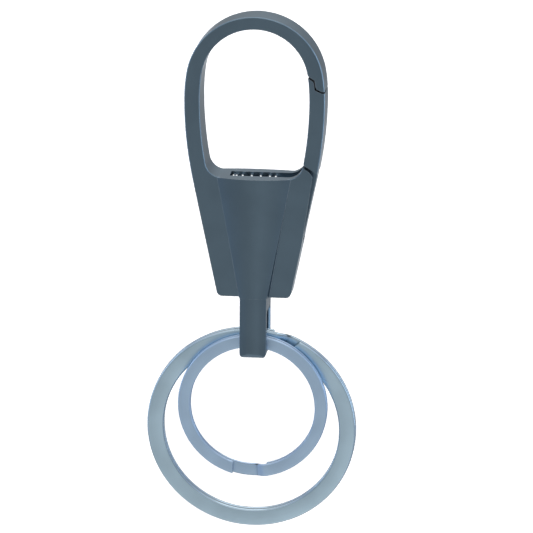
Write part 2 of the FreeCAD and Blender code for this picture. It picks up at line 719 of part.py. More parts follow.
def gate_spring():
    """A compression spring with two closed turns at its left end and one at its right."""
    wire = dim("spring_wire")
    closed = wire + dim("spring_end_gap")
    left_turns = 2
    right_turns = 1
    length = dim("spring_channel") - 2 * dim("spring_end_gap")
    open_length = length - wire - closed * (left_turns + right_turns)
    open_turns = round(open_length / dim("spring_pitch"))
    sections = [(left_turns, closed), (open_turns, open_length / open_turns), (right_turns, closed)]
    spring = doc.addObject("Part::Feature", "gate_spring")
    spring.Label = "gate_spring"
    spring.Shape = coil(sections, (dim("spring_diameter") - wire) / 2, wire)
    start = V(SPRING_X + dim("spring_end_gap") + wire / 2, 0, SPRING_Z)
    spring.Placement = FreeCAD.Placement(start, FreeCAD.Rotation(V(0, 1, 0), 90))
    return spring


# ---------------------------------------------------------------- split rings

def ring_section(inner, width, near, far, bevel):
    """One turn's section in the XZ plane of the ring's own frame, bevelled on its far side."""
    side = 1 if far > near else -1
    outer = inner + width
    points = [
        V(inner, 0, near), V(inner, 0, far - side * bevel), V(inner + bevel, 0, far),
        V(outer - bevel, 0, far), V(outer, 0, far - side * bevel), V(outer, 0, near),
    ]
    return Part.makePolygon(points + points[:1])


def turned(shape, angle):
    """A copy of a shape turned about the ring's axis by degrees."""
    copy = shape.copy()
    copy.rotate(V(0, 0, 0), V(0, 0, 1), angle)
    return copy


def split_ring(label, diameter, width, depth, split_at, split_angle, ramp_angle):
    """A flat wire wound twice: its front turn steps down to its back turn by a short ramp.

    The ring's own frame has +Z to the front. split_at is where the front turn ends, and
    the ramp runs clockwise from there.
    """
    gap = dim("ring_layer_gap") / 2
    bevel = dim("ring_bevel")
    inner = diameter / 2 - width
    front = ring_section(inner, width, gap, depth / 2, bevel)
    back = ring_section(inner, width, -gap, -depth / 2, bevel)
    front_start = turned(Part.Face(front), split_at - split_angle)
    front_turn = front_start.revolve(V(), V(0, 0, 1), split_angle - 360)
    back_start = turned(Part.Face(back), split_at - ramp_angle)
    back_turn = back_start.revolve(V(), V(0, 0, 1), ramp_angle + dim("ring_end_gap") - 360)
    sections = []
    steps = 6  # sections along the ramp
    for k in range(steps + 1):
        share = k / steps
        ease = share * share * (3 - 2 * share)
        here = turned(front, split_at - ramp_angle * share)
        here.translate(V(0, 0, -ease * (depth / 2 + gap)))
        sections.append(here)
    ramp = Part.makeLoft(sections, True, False)
    whole = front_turn.fuse([ramp, back_turn])
    ring = doc.addObject("Part::Feature", label)
    ring.Label = label
    ring.Shape = whole
    return ring


def rest_z(offset, diameter, width, depth, tilt):
    """Level of a ring's uppermost wire, when its inside rests on the bar's two edges."""
    reach = dim("stem_width") / 2 - dim("eyelet_bevel") + abs(offset)
    inner = diameter / 2 - width
    sag = inner - math.sqrt(inner ** 2 - reach ** 2)
    lower_corner = depth / 2 * math.sin(math.radians(tilt))
    return BAR_Z + dim("ring_bar_gap") + sag + width / 2 + lower_corner


def hang(ring, x, wire_y, wire_z, mean_radius, tilt):
    """Places a ring with its uppermost wire at a point, leaning back by degrees."""
    upright = FreeCAD.Rotation(V(1, 0, 0), 90 + tilt)
    lean = math.radians(tilt)
    centre = V(x, wire_y + mean_radius * math.sin(lean), wire_z - mean_radius * math.cos(lean))
    ring.Placement = FreeCAD.Placement(centre, upright)


def large_split_ring():
    """The large ring, behind the small one, split a little to the right of its top."""
    width = dim("large_ring_width")
    diameter = dim("large_ring_diameter")
    depth = dim("large_ring_depth")
    offset = dim("large_ring_offset")
    tilt = dim("large_ring_tilt")
    ring = split_ring("large_split_ring", diameter, width, depth,
                      dim("large_split_at"), dim("large_split_angle"), dim("large_ramp_angle"))
    hang(ring, offset, SLOT_BACK - dim("large_ring_back"), rest_z(offset, diameter, width, depth, tilt),
         (diameter - width) / 2, tilt)
    return ring


def small_split_ring():
    """The small ring, in front, split at its bottom."""
    width = dim("small_ring_width")
    diameter = dim("small_ring_diameter")
    depth = dim("small_ring_depth")
    offset = dim("small_ring_offset")
    tilt = dim("small_ring_tilt")
    ring = split_ring("small_split_ring", diameter, width, depth,
                      dim("small_split_at"), dim("small_split_angle"), dim("small_ramp_angle"))
    hang(ring, offset, SLOT_FRONT + dim("small_ring_front"), rest_z(offset, diameter, width, depth, tilt),
         (diameter - width) / 2, tilt)
    return ring


# ---------------------------------------------------------------- build, check and write

pieces = [clip_body(), gate(), pivot_pin(), gate_spring(), large_split_ring(), small_split_ring()]
doc.recompute()

for item in doc.Objects:
    if "Invalid" in item.State or "Error" in item.State:
        raise RuntimeError("%s has failed: %s" % (item.Label, item.State))
for piece in pieces:
    shape = piece.Shape
    if shape.isNull() or not shape.isValid() or len(shape.Solids) != 1:
        raise RuntimeError("%s isn't one valid solid" % piece.Label)

os.makedirs("parts", exist_ok=True)
for piece in pieces:
    piece.Shape.exportStep("parts/%s.step" % piece.Label)
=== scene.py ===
"""Looks of a key organiser: a satin spring-gate clip whose eyelet carries two split rings.

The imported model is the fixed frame. The casting and the gate are eased copies of their
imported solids, the rings and the spring are wound wire, and the studio is a pale cove.
"""

import logging
import math
from dataclasses import dataclass
from enum import Enum

import bmesh
import bpy
from mathutils import Matrix, Vector


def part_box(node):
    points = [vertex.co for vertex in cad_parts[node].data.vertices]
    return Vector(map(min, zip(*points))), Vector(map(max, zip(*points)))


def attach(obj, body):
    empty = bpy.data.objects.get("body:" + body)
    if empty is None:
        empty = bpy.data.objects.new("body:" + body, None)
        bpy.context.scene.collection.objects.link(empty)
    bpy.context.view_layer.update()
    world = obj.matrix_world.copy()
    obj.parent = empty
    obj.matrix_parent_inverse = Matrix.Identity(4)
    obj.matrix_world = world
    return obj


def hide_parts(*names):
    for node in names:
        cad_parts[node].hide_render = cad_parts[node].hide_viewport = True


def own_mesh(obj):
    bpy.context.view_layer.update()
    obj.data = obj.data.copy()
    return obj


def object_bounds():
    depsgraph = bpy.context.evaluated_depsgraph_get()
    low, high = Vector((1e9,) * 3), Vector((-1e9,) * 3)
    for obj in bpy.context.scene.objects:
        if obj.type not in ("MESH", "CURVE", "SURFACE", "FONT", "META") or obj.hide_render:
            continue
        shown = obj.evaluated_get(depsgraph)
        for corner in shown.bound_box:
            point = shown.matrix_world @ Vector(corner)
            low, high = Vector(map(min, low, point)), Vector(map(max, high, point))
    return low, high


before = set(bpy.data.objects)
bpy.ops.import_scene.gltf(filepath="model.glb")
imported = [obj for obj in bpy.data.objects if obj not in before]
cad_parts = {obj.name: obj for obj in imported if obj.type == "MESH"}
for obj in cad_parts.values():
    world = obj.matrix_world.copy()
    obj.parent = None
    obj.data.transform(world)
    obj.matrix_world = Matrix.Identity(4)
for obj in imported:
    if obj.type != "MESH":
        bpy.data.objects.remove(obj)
CAD_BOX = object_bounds()

MM = 0.001
TAU = 2.0 * math.pi
LOG = logging.getLogger("key_organiser")


# ------------------------------------------------------------------ node helpers

class Graph:
    """A node tree with short ways to add nodes and links."""

    def __init__(self, tree: bpy.types.NodeTree) -> None:
        """Takes over a tree.

        Args:
            tree: the node tree to add to.
        """
        self.tree = tree

    def add(self, kind: str, settings: dict | None = None, **inputs: object) -> bpy.types.Node:
        """Adds a node, sets its properties and fills or links its inputs.

        Args:
            kind: the node's type name.
            settings: the node's own properties.
            inputs: input sockets by name, with underscores for spaces, or s0, s1 by place.

        Returns:
            The new node.
        """
        node = self.tree.nodes.new(kind)
        for key, value in (settings or {}).items():
            setattr(node, key, value)
        for key, value in inputs.items():
            place = key[1:]
            socket = node.inputs[int(place) if place.isdigit() else key.replace("_", " ")]
            if isinstance(value, bpy.types.NodeSocket):
                self.tree.links.new(value, socket)
            else:
                socket.default_value = value
        return node

    def maths(self, operation: str, *values: object, clamp: bool = False) -> bpy.types.NodeSocket:
        """A math node's result.

        Args:
            operation: the operation's name.
            values: one to three numbers or sockets.
            clamp: whether the result is kept between 0 and 1.

        Returns:
            The output socket.
        """
        inputs = {"s%d" % i: value for i, value in enumerate(values)}
        settings = {"operation": operation, "use_clamp": clamp}
        return self.add("ShaderNodeMath", settings, **inputs).outputs[0]

    def ramp(self, value: bpy.types.NodeSocket, low: float, high: float,
             out_low: float = 0.0, out_high: float = 1.0) -> bpy.types.NodeSocket:
        """A smooth step of a value.

        Args:
            value: the socket to read.
            low: where the step starts.
            high: where it ends.
            out_low: the result below the step.
            out_high: the result above it.

        Returns:
            The output socket.
        """
        node = self.add("ShaderNodeMapRange", {"interpolation_type": "SMOOTHSTEP"},
                        s0=value, s1=low, s2=high, s3=out_low, s4=out_high)
        return node.outputs[0]

    def noise(self, vector: bpy.types.NodeSocket, scale: object,
              detail: float = 3.0) -> bpy.types.NodeSocket:
        """Noise between 0 and 1.

        Args:
            vector: the coordinates.
            scale: features for each metre, a number or a socket.
            detail: octaves.

        Returns:
            The value socket.
        """
        node = self.add("ShaderNodeTexNoise", Vector=vector, Scale=scale, Detail=detail)
        return node.outputs["Fac"]

    def mix(self, share: bpy.types.NodeSocket, first: object,
            second: object) -> bpy.types.NodeSocket:
        """A colour between two colours.

        Args:
            share: 0 for the first, 1 for the second.
            first: a colour or a socket.
            second: a colour or a socket.

        Returns:
            The colour socket.
        """
        node = self.add("ShaderNodeMix", {"data_type": "RGBA"}, s0=share, s6=first, s7=second)
        return node.outputs[2]

    def feed(self, node: bpy.types.Node, sockets: dict[str, bpy.types.NodeSocket]) -> None:
        """Links output sockets to a node's inputs.

        Args:
            node: the node to feed.
            sockets: the output sockets by the name of the input that each one feeds.
        """
        for key, socket in sockets.items():
            self.tree.links.new(socket, node.inputs[key])


def new_group(name: str, inputs: dict[str, float],
              outputs: list[str]) -> tuple[Graph, bpy.types.Node, bpy.types.Node]:
    """Starts a shader node group with number inputs and number outputs.

    Args:
        name: the group's name.
        inputs: input names with their defaults.
        outputs: output names.

    Returns:
        The graph, the group's input node and its output node.
    """
    tree = bpy.data.node_groups.new(name, "ShaderNodeTree")
    for key, value in inputs.items():
        socket = tree.interface.new_socket(name=key, in_out="INPUT", socket_type="NodeSocketFloat")
        socket.default_value = value
    for key in outputs:
        tree.interface.new_socket(name=key, in_out="OUTPUT", socket_type="NodeSocketFloat")
    graph = Graph(tree)
    return graph, graph.add("NodeGroupInput"), graph.add("NodeGroupOutput")


def edge_wear_and_highlight_group() -> bpy.types.NodeTree:
    """Builds the group that finds rubbed edges and marks them for a painted highlight.

    Returns:
        The group: Width and Strength in, Wear and highlight out, 1 on an edge worn bright and lit by a
            painted highlight.
    """
    graph, given, result = new_group("edge_wear_and_highlight", {"Width": 0.15 * MM, "Strength": 1.0}, ["Wear and highlight"])
    coords = graph.add("ShaderNodeTexCoord").outputs["Object"]
    eased = graph.add("ShaderNodeBevel", {"samples": 6}, Radius=given.outputs["Width"])
    flat = graph.add("ShaderNodeNewGeometry").outputs["Normal"]
    facing = graph.add("ShaderNodeVectorMath", {"operation": "DOT_PRODUCT"},
                       s0=eased.outputs["Normal"], s1=flat).outputs["Value"]
    turned = graph.ramp(graph.maths("SUBTRACT", 1.0, facing), 0.01, 0.16)
    broken = graph.ramp(graph.noise(coords, 1400.0, 4.0), 0.36, 0.62, 0.35, 1.0)
    # painted highlight and wear: the turned edges, broken up by noise, are marked to be painted bright
    rubbed_and_lit = graph.maths("MULTIPLY", turned, broken)
    worn_and_highlit = graph.maths("MULTIPLY", rubbed_and_lit, given.outputs["Strength"], clamp=True)
    graph.feed(result, {"Wear and highlight": worn_and_highlit})
    return graph.tree


def blast_grain_group() -> bpy.types.NodeTree:
    """Builds the group for the fine pitting that blasting or tumbling leaves.

    Returns:
        The group: Scale in; Grain, the pits, and Cloud, broad patches, out.
    """
    graph, given, result = new_group("blast_grain", {"Scale": 9000.0}, ["Grain", "Cloud"])
    coords = graph.add("ShaderNodeTexCoord").outputs["Object"]
    fine = graph.noise(coords, given.outputs["Scale"], 3.0)
    cloud = graph.noise(coords, 170.0, 2.0)
    graph.feed(result, {"Grain": fine, "Cloud": cloud})
    return graph.tree


def ring_lines_group() -> bpy.types.NodeTree:
    """Builds the group for a ring's fine concentric lines and its polished rim.

    Returns:
        The group: Scale in; Lines, the fine lines, Rim, 1 away from the flat faces, and Seam shade,
        1 in the groove between the two turns, where painted shade darkens the rim, out.
    """
    graph, given, result = new_group("ring_lines", {"Scale": 5200.0}, ["Lines", "Rim", "Seam"])
    coords = graph.add("ShaderNodeTexCoord")
    split = graph.add("ShaderNodeSeparateXYZ", Vector=coords.outputs["Object"])
    squares = [graph.maths("POWER", split.outputs[key], 2.0) for key in ("X", "Y")]
    across = graph.maths("SQRT", graph.maths("ADD", *squares))
    turn = graph.maths("ARCTAN2", split.outputs["Y"], split.outputs["X"])
    where = graph.add("ShaderNodeCombineXYZ", X=across, Y=graph.maths("MULTIPLY", turn, 0.0008),
                      Z=split.outputs["Z"])
    lines = graph.noise(where.outputs[0], given.outputs["Scale"], 2.0)
    facing = graph.add("ShaderNodeSeparateXYZ", Vector=coords.outputs["Normal"])
    rim = graph.ramp(graph.maths("ABSOLUTE", facing.outputs["Z"]), 0.80, 0.985, 1.0, 0.0)
    middle = graph.maths("ABSOLUTE", split.outputs["Z"])
    # painted shade: a thin band at the middle plane, where the two turns meet, to be painted dark
    groove = graph.ramp(middle, 0.06 * MM, 0.17 * MM, 1.0, 0.0)
    graph.feed(result, {"Lines": lines, "Rim": rim, "Seam": graph.maths("MULTIPLY", groove, rim)})
    return graph.tree


class Effects:
    """The shared node groups, each built once."""

    def __init__(self) -> None:
        """Builds the groups."""
        self.edge_wear_and_highlight = edge_wear_and_highlight_group()
        self.blast_grain = blast_grain_group()
        self.ring_lines = ring_lines_group()


# ------------------------------------------------------------------ finishes

Colour = tuple[float, float, float, float]


def darker(colour: Colour, share: float) -> Colour:
    """A colour with its three channels scaled by a share."""
    return tuple(c * share for c in colour[:3]) + (1.0,)


def new_material(name: str) -> tuple[bpy.types.Material, Graph, bpy.types.Node]:
    """Starts a material with one Principled shader.

    Args:
        name: the material's name.

    Returns:
        The material, its graph and its shader node.
    """
    material = bpy.data.materials.new(name)
    material.use_nodes = True
    material.node_tree.nodes.clear()
    graph = Graph(material.node_tree)
    shader = graph.add("ShaderNodeBsdfPrincipled", Metallic=1.0)
    graph.add("ShaderNodeOutputMaterial", Surface=shader.outputs["BSDF"])
    return material, graph, shader


@dataclass(frozen=True)
class CoatedSatin:
    """A dark coating on blasted steel, brighter along its edges where it is rubbed and where a painted
    highlight lies.
    """

    name: str
    colour: Colour
    worn_and_highlit: Colour
    roughness: float
    wear_and_highlight: float
    worn_and_highlit_width: float = 0.13 * MM

    def material(self, effects: Effects) -> bpy.types.Material:
        """Builds the material.

        Args:
            effects: the shared groups.

        Returns:
            The material.
        """
        material, graph, shader = new_material(self.name)
        grain = graph.add("ShaderNodeGroup", {"node_tree": effects.blast_grain}, Scale=11000.0)
        edge = graph.add("ShaderNodeGroup", {"node_tree": effects.edge_wear_and_highlight},
                         Width=self.worn_and_highlit_width, Strength=self.wear_and_highlight)
        cloud = graph.ramp(grain.outputs["Cloud"], 0.35, 0.65)
        tone = graph.mix(cloud, darker(self.colour, 0.93), self.colour)
        # painted highlight and wear: the edge mask paints a pale blue-white line along every edge
        colour = graph.mix(edge.outputs["Wear and highlight"], tone, self.worn_and_highlit)
        rough = graph.ramp(grain.outputs["Grain"], 0.3, 0.7, self.roughness - 0.03,
                           self.roughness + 0.04)
        smoother = graph.maths("MULTIPLY", edge.outputs["Wear and highlight"], 0.12)
        bump = graph.add("ShaderNodeBump", Strength=0.10, Distance=0.012 * MM,
                         Height=grain.outputs["Grain"])
        graph.feed(shader, {"Base Color": colour, "Normal": bump.outputs["Normal"],
                            "Roughness": graph.maths("SUBTRACT", rough, smoother)})
        return material


@dataclass(frozen=True)
class RingSteel:
    """Flat-wire steel: worked faces, a rim that is polished more or less, and painted shade in the seam
    between the turns.
    """

    name: str
    face: Colour
    rim: Colour
    face_roughness: float
    rim_roughness: float
    line_depth: float

    def material(self, effects: Effects) -> bpy.types.Material:
        """Builds the material.

        Args:
            effects: the shared groups.

        Returns:
            The material.
        """
        material, graph, shader = new_material(self.name)
        ring = graph.add("ShaderNodeGroup", {"node_tree": effects.ring_lines}, Scale=5200.0)
        grain = graph.add("ShaderNodeGroup", {"node_tree": effects.blast_grain}, Scale=7000.0)
        cloud = graph.ramp(grain.outputs["Cloud"], 0.3, 0.7)
        tone = graph.mix(cloud, darker(self.face, 0.9), self.face)
        edged = graph.mix(ring.outputs["Rim"], tone, self.rim)
        # painted shade: the seam between the two turns is painted nearly black
        colour = graph.mix(ring.outputs["Seam"], edged, darker(self.rim, 0.12))
        face_rough = graph.ramp(ring.outputs["Lines"], 0.3, 0.7, self.face_roughness - 0.04,
                                self.face_roughness + 0.04)
        keep = graph.maths("SUBTRACT", 1.0, ring.outputs["Rim"])
        rough = graph.maths("ADD", graph.maths("MULTIPLY", face_rough, keep),
                            graph.maths("MULTIPLY", ring.outputs["Rim"], self.rim_roughness))
        relief = graph.maths("ADD", graph.maths("MULTIPLY", ring.outputs["Lines"], keep),
                             graph.maths("MULTIPLY", grain.outputs["Grain"], 0.4))
        bump = graph.add("ShaderNodeBump", Strength=self.line_depth, Distance=0.01 * MM,
                         Height=relief)
        graph.feed(shader, {"Base Color": colour, "Roughness": rough,
                            "Normal": bump.outputs["Normal"]})
        return material


@dataclass(frozen=True)
class DrawnWire:
    """Bright steel that keeps the faint marks of drawing or grinding."""

    name: str
    colour: Colour
    roughness: float

    def material(self, effects: Effects) -> bpy.types.Material:
        """Builds the material.

        Args:
            effects: the shared groups.

        Returns:
            The material.
        """
        material, graph, shader = new_material(self.name)
        grain = graph.add("ShaderNodeGroup", {"node_tree": effects.blast_grain}, Scale=5000.0)
        cloud = graph.ramp(grain.outputs["Cloud"], 0.35, 0.65)
        colour = graph.mix(cloud, darker(self.colour, 0.82), self.colour)
        rough = graph.ramp(grain.outputs["Grain"], 0.3, 0.7, self.roughness - 0.05,
                           self.roughness + 0.07)
        bump = graph.add("ShaderNodeBump", Strength=0.12, Distance=0.008 * MM,
                         Height=grain.outputs["Grain"])
        graph.feed(shader, {"Base Color": colour, "Roughness": rough,
                            "Normal": bump.outputs["Normal"]})
        return material


class Finish(Enum):
    """The finishes of the organiser, one for each of the record's material slots."""

    # the worn colour is the pale blue-white painted along the edges, partly rubbed steel and partly a
    # painted edge highlight
    CLIP = CoatedSatin("clip_coating", colour=(0.162, 0.228, 0.285, 1.0),
                       worn_and_highlit=(0.60, 0.69, 0.78, 1.0), roughness=0.34, wear_and_highlight=0.8)
    PIN = DrawnWire("pin_steel", colour=(0.42, 0.44, 0.47, 1.0), roughness=0.30)
    SPRING = DrawnWire("spring_wire", colour=(0.80, 0.82, 0.84, 1.0), roughness=0.16)
    LARGE_RING = RingSteel("large_ring_satin", face=(0.62, 0.80, 0.92, 1.0),
                           rim=(0.40, 0.49, 0.56, 1.0), face_roughness=0.34,
                           rim_roughness=0.12, line_depth=0.20)
    SMALL_RING = RingSteel("small_ring_matte", face=(0.57, 0.74, 0.93, 1.0),
                           rim=(0.40, 0.51, 0.66, 1.0), face_roughness=0.46,
                           rim_roughness=0.34, line_depth=0.22)


def dress(piece: bpy.types.Object, finish: Finish, materials: dict[Finish, bpy.types.Material]) -> None:
    """Gives a piece its finish as its one material slot.

    Args:
        piece: the object.
        finish: which finish.
        materials: the built materials.
    """
    piece.data.materials.clear()
    piece.data.materials.append(materials[finish])


# ------------------------------------------------------------------ mesh helpers

def new_piece(name: str, mesh: bpy.types.Mesh) -> bpy.types.Object:
    """Puts a mesh into the scene as an object.

    Args:
        name: the piece's name.
        mesh: its mesh.

    Returns:
        The object.
    """
    piece = bpy.data.objects.new(name, mesh)
    bpy.context.scene.collection.objects.link(piece)
    return piece


def smooth_mesh(name: str, work: bmesh.types.BMesh) -> bpy.types.Mesh:
    """Turns finished mesh work into a smoothly shaded mesh and frees the work.

    Args:
        name: the mesh's name.
        work: the mesh work.

    Returns:
        The mesh.
    """
    for face in work.faces:
        face.smooth = True
    mesh = bpy.data.meshes.new(name)
    work.to_mesh(mesh)
    work.free()
    return mesh


def eased_copy(node: str, name: str, width: float, sharp: float = 24.0) -> bpy.types.Object:
    """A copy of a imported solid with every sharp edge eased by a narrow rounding.

    Args:
        node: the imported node.
        name: the new piece's name.
        width: how far the rounding runs on each side of an edge, in metres.
        sharp: edges that turn more than this many degrees are eased.

    Returns:
        The piece, with smooth shading that follows its larger faces.
    """
    work = bmesh.new()
    work.from_mesh(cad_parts[node].data)
    bmesh.ops.remove_doubles(work, verts=work.verts, dist=1e-7)
    bmesh.ops.dissolve_limit(work, angle_limit=math.radians(0.4), verts=work.verts, edges=work.edges)
    limit = math.radians(sharp)
    edges = [e for e in work.edges if e.is_manifold and e.calc_face_angle(0.0) > limit]
    bmesh.ops.bevel(work, geom=edges, offset=width, offset_type="OFFSET", segments=2, profile=0.5,
                    affect="EDGES", clamp_overlap=True)
    bmesh.ops.recalc_face_normals(work, faces=work.faces)
    piece = new_piece(name, smooth_mesh(name, work))
    weigh = piece.modifiers.new("even_shading", "WEIGHTED_NORMAL")
    weigh.weight = 80
    weigh.keep_sharp = False
    return piece


def rounded_section(width: float, height: float, radius: float,
                    steps: int = 5) -> list[tuple[float, float]]:
    """A rectangle with rounded corners, about its centre.

    Args:
        width: across, in metres.
        height: up, in metres.
        radius: of each corner.
        steps: points on each corner, less one.

    Returns:
        The outline's points, anticlockwise.
    """
    points = []
    for corner, (sx, sy) in enumerate(((1, 1), (-1, 1), (-1, -1), (1, -1))):
        for k in range(steps + 1):
            angle = (corner + k / steps) * math.pi / 2
            points.append((sx * (width / 2 - radius) + radius * math.cos(angle),
                           sy * (height / 2 - radius) + radius * math.sin(angle)))
    return points


def swept_mesh(name: str, loops: list[list[Vector]]) -> bpy.types.Mesh:
    """A closed tube through loops of points, with flat ends that are slightly eased.

    Args:
        name: the mesh's name.
        loops: the sections in order, each with the same number of points.

    Returns:
        The mesh.
    """
    work = bmesh.new()
    rows = [[work.verts.new(p) for p in loop] for loop in loops]
    count = len(loops[0])
    for low, high in zip(rows, rows[1:]):
        for k in range(count):
            work.faces.new((low[k], low[(k + 1) % count], high[(k + 1) % count], high[k]))
    for row in (rows[0], rows[-1]):
        work.faces.new(row)
    bmesh.ops.recalc_face_normals(work, faces=work.faces)
    ends = [e for e in work.edges if any(len(f.verts) > 4 for f in e.link_faces)]
    bmesh.ops.bevel(work, geom=ends, offset=0.05 * MM, offset_type="OFFSET", segments=2, profile=0.5,
                    affect="EDGES", clamp_overlap=True)
    return smooth_mesh(name, work)


# ------------------------------------------------------------------ the clip

@dataclass
class ClipCasting:
    """The bow, flanks, stem and eyelet: one coated casting."""

    edge: float = 0.06 * MM

    def build(self, materials: dict[Finish, bpy.types.Material]) -> bpy.types.Object:
        """Builds and dresses the casting.

        Args:
            materials: the built materials.

        Returns:
            The piece.
        """
        piece = eased_copy("clip_body", "clip_casting", self.edge)
        dress(piece, Finish.CLIP, materials)
        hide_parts("clip_body")
        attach(piece, "clip")
        return piece


@dataclass
class SpringGate:
    """The gate, with its finger, heel and tail."""

    edge: float = 0.05 * MM

    def build(self, materials: dict[Finish, bpy.types.Material]) -> bpy.types.Object:
        """Builds and dresses the gate.

        Args:
            materials: the built materials.

        Returns:
            The piece.
        """
        piece = eased_copy("gate", "gate_lever", self.edge)
        dress(piece, Finish.CLIP, materials)
        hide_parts("gate")
        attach(piece, "gate")
        return piece


@dataclass
class HingePin:
    """The pin that the gate turns on, seen from the rear."""

    edge: float = 0.04 * MM

    def build(self, materials: dict[Finish, bpy.types.Material]) -> bpy.types.Object:
        """Builds and dresses the pin.

        Args:
            materials: the built materials.

        Returns:
            The piece.
        """
        piece = eased_copy("pivot_pin", "hinge_pin", self.edge)
        dress(piece, Finish.PIN, materials)
        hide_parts("pivot_pin")
        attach(piece, "clip")
        return piece


@dataclass
class GateCoil:
    """The coil spring between the body and the gate's heel."""

    wire: float = 0.45 * MM
    closed_pitch: float = 0.50 * MM
    left_turns: int = 2
    right_turns: int = 1
    open_pitch: float = 1.36 * MM
    spots: int = 28
    sides: int = 12
    kept_length: float = 0.845

    def centre_line(self, length: float, radius: float) -> list[Vector]:
        """The wire's centre line along +X from 0.

        Args:
            length: the coil's length over its ends.
            radius: from the coil's axis to the wire's centre.

        Returns:
            The points.
        """
        opened = length - self.wire - self.closed_pitch * (self.left_turns + self.right_turns)
        turns = round(opened / self.open_pitch)
        sections = ((self.left_turns, self.closed_pitch), (turns, opened / turns),
                    (self.right_turns, self.closed_pitch))
        points = []
        along = self.wire / 2
        for count, pitch in sections:
            for k in range(count * self.spots):
                angle = TAU * k / self.spots
                points.append(Vector((along + pitch * k / self.spots, radius * math.sin(angle),
                                      -radius * math.cos(angle))))
            along += count * pitch
        points.append(Vector((along, 0.0, -radius)))
        return points

    def build(self, materials: dict[Finish, bpy.types.Material]) -> bpy.types.Object:
        """Builds and dresses the spring.

        Args:
            materials: the built materials.

        Returns:
            The piece.
        """
        low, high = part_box("gate_spring")
        middle = (low + high) / 2
        radius = (high.z - low.z - self.wire) / 2
        line = self.centre_line(high.x - low.x, radius)
        start = Vector((low.x, middle.y, middle.z))
        loops = []
        for i, point in enumerate(line):
            tangent = (line[min(i + 1, len(line) - 1)] - line[max(i - 1, 0)]).normalized()
            outward = Vector((0.0, point.y, point.z)).normalized()
            across = tangent.cross(outward)
            loops.append([start + point + self.wire / 2 * (
                outward * math.cos(TAU * k / self.sides) + across * math.sin(TAU * k / self.sides)
            ) for k in range(self.sides)])
        piece = new_piece("gate_coil", swept_mesh("gate_coil", loops))
        dress(piece, Finish.SPRING, materials)
        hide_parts("gate_spring")
        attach(piece, "clip")
        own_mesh(piece)
        return piece


# ------------------------------------------------------------------ the split rings

@dataclass
class SplitRing:
    """A flat wire wound twice, with a joggle where it steps from one layer to the other."""

    node: str
    name: str
    body: str
    finish: Finish
    centre: tuple[float, float, float]
    wire_width: float
    depth: float
    tilt: float
    split_at: float
    split_angle: float
    ramp_angle: float
    cut_slant: float
    corner: float
    layer_gap: float = 0.09 * MM
    end_gap: float = 1.5
    step: float = 1.25
    slant_reach: float = 6.0

    def height(self, travelled: float) -> float:
        """The layer's height above the ring's middle plane.

        Args:
            travelled: degrees wound from the front layer's cut end.

        Returns:
            The height in metres.
        """
        level = (self.depth + self.layer_gap) / 4
        front = 360.0 - self.split_angle
        share = min(max((travelled - front) / self.ramp_angle, 0.0), 1.0)
        return level * (1.0 - 2.0 * share * share * (3.0 - 2.0 * share))

    def loops(self, mean_radius: float) -> list[list[Vector]]:
        """The wire's sections in the ring's own frame, +Z to the front.

        Args:
            mean_radius: to the middle of the wire's width.

        Returns:
            The sections in order, from the front layer's cut end.
        """
        total = 720.0 - self.split_angle - self.end_gap
        count = round(total / self.step)
        section = rounded_section(self.wire_width, (self.depth - self.layer_gap) / 2, self.corner)
        result = []
        for i in range(count + 1):
            travelled = total * i / count
            angle = math.radians(self.split_at - self.split_angle - travelled)
            slant = self.cut_slant * max(0.0, 1.0 - travelled / self.slant_reach)
            loop = []
            for across, up in section:
                turn = angle + slant * across / mean_radius
                radius = mean_radius + across
                loop.append(Vector((radius * math.cos(turn), radius * math.sin(turn),
                                    self.height(travelled) + up)))
            result.append(loop)
        return result

    def build(self, materials: dict[Finish, bpy.types.Material]) -> bpy.types.Object:
        """Builds, places and dresses the ring.

        Args:
            materials: the built materials.

        Returns:
            The piece.
        """
        low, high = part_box(self.node)
        mean_radius = (high.x - low.x - self.wire_width) / 2
        piece = new_piece(self.name, swept_mesh(self.name, self.loops(mean_radius)))
        upright = Matrix.Rotation(math.radians(90.0 + self.tilt), 4, "X")
        piece.matrix_world = Matrix.Translation(Vector(self.centre)) @ upright
        dress(piece, self.finish, materials)
        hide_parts(self.node)
        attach(piece, self.body)
        return piece


def large_ring() -> SplitRing:
    """The large ring, behind, split a little to the right of its top."""
    return SplitRing(node="large_split_ring", name="large_ring_wire", body="large_ring",
                     finish=Finish.LARGE_RING, centre=(-0.75 * MM, 2.473 * MM, -68.814 * MM),
                     wire_width=2.8 * MM, depth=1.7 * MM, tilt=5.0, split_at=75.6,
                     split_angle=11.3, ramp_angle=9.0, cut_slant=-0.5, corner=0.31 * MM)


def small_ring() -> SplitRing:
    """The small ring, in front, split at its bottom."""
    return SplitRing(node="small_split_ring", name="small_ring_wire", body="small_ring",
                     finish=Finish.SMALL_RING, centre=(-0.33 * MM, 0.128 * MM, -64.557 * MM),
                     wire_width=2.1 * MM, depth=1.4 * MM, tilt=4.5, split_at=-79.0,
                     split_angle=28.0, ramp_angle=10.0, cut_slant=0.25, corner=0.24 * MM)


# ------------------------------------------------------------------ the studio

@dataclass(frozen=True)
class Sky:
    """How bright each part of the soft light all round is, and which way the paper lies."""

    base: float = 0.385
    above: float = 0.80
    beside: float = 0.75
    behind: float = 2.2
    below: float = 0.35
    strip: float = 0.17
    strip_middle: float = 0.06
    strip_reach: float = 0.26
    paper_way: tuple[float, float, float] = (-0.11, 0.962, -0.247)
    white: Colour = (0.96, 0.985, 1.0, 1.0)
    cool: Colour = (0.80, 0.92, 1.10, 1.0)
    backdrop: Colour = (0.95, 0.95, 0.955, 1.0)


@dataclass(frozen=True)
class SoftBox:
    """One rectangular lamp: its place, width and height in metres, and its power in watts."""

    name: str
    place: tuple[float, float, float]
    size: tuple[float, float]
    power: float
    colour: tuple[float, float, float]


